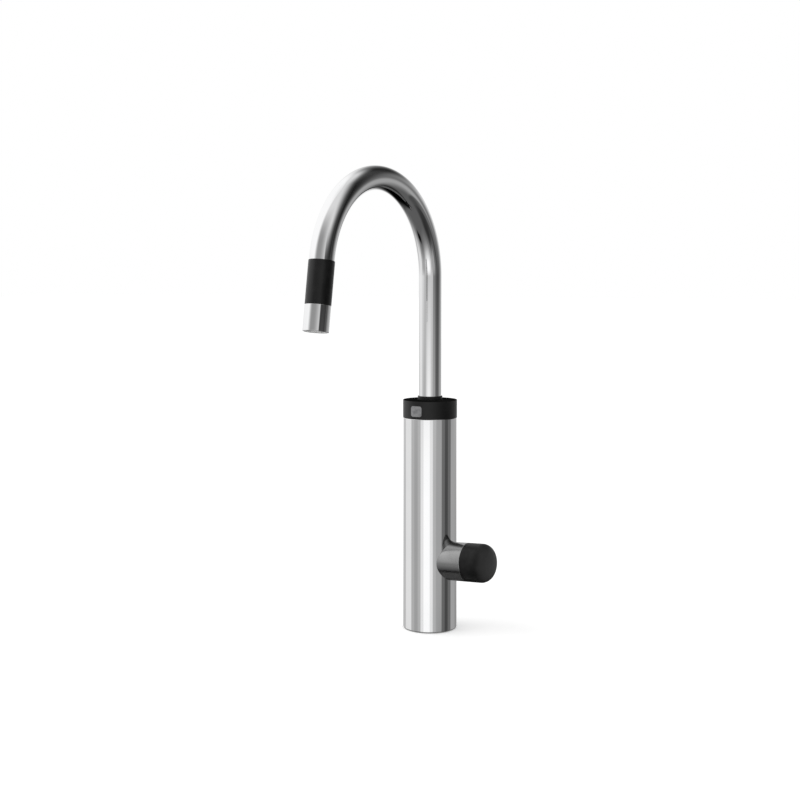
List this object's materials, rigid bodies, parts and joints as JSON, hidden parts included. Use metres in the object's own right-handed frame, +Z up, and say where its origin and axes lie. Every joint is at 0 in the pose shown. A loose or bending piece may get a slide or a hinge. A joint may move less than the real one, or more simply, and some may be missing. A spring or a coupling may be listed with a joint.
{
  "type": "water filter faucet",
  "caption": "Tall deck-mounted drinking-water faucet: round body with built-in filter, black collar, swivelling gooseneck spout and quarter-turn side knob.",
  "frame": {"origin": "centre of the water inlet in the underside of the base, on the plane of the deck", "axes": "+Z up along the body axis, -Y towards the spout outlet at rest, +X towards the handle"},
  "size_m": [0.0916, 0.2134, 0.4215],
  "materials": {
    "chrome": "polished chrome plate",
    "brass": "turned brass, unplated",
    "copper_tube": "drawn copper tube",
    "black_plastic": "satin black moulding",
    "black_grip": "matt black soft-touch rubber",
    "rubber": "black nitrile rubber",
    "white_plastic": "natural white moulding",
    "ceramic": "lapped alumina",
    "carbon": "sintered activated carbon",
    "fleece": "pressed white fleece",
    "steel": "stainless steel",
    "lens": "smoke grey translucent lens, unlit",
    "circuit": "green circuit board",
    "light": "clear light body, unlit"
  },
  "bodies": {
    "stand": {"deck_gasket": "rubber", "base_block": "brass", "base_seal": "rubber", "inlet_tube": "copper_tube", "inlet_tube_seals": "rubber", "body_shell": "chrome", "valve_body": "brass", "headwork": "brass", "headwork_seal": "rubber", "disc_seal": "rubber", "fixed_disc": "ceramic", "hub": "chrome", "capsule_housing": "white_plastic", "capsule_lid": "white_plastic", "carbon_block": "carbon", "fleece_wrap": "fleece", "core_tube": "white_plastic", "lower_end_disc": "white_plastic", "upper_end_disc": "white_plastic", "core_seal": "rubber", "capsule_lower_seal": "rubber", "capsule_upper_seal": "rubber", "head_block": "brass", "head_seal": "rubber", "thrust_washer": "white_plastic", "spout_bush": "black_plastic", "collar": "black_plastic", "indicator_lens": "lens", "indicator_carrier": "black_plastic", "indicator_board": "circuit", "status_light": "light", "coin_cell": "steel"},
    "spout": {"spout_tube": "chrome", "spout_spigot": "brass", "spout_seals": "rubber", "spout_clip": "steel", "nozzle_adapter": "brass", "nozzle_sleeve": "black_grip", "nozzle_seal": "rubber", "nozzle_tip": "chrome", "aerator_gasket": "rubber", "aerator_housing": "white_plastic", "aerator_core": "white_plastic", "aerator_screen": "steel"},
    "handle": {"knob": "black_plastic", "knob_insert": "brass", "knob_screw": "steel", "valve_stem": "brass", "stem_seals": "rubber", "stop_ring": "steel", "turning_disc": "ceramic"}
  },
  "joints": [
    {"name": "spout_swivel", "type": "hinge", "parent": "stand", "child": "spout", "pos_m": [0, 0, 0.196], "axis": [0, 0, 1], "continuous": true},
    {"name": "knob_turn", "type": "hinge", "parent": "stand", "child": "handle", "pos_m": [0, 0, 0.063], "axis": [0.9986, 0, 0.0523], "range_deg": [0, 90]}
  ]
}
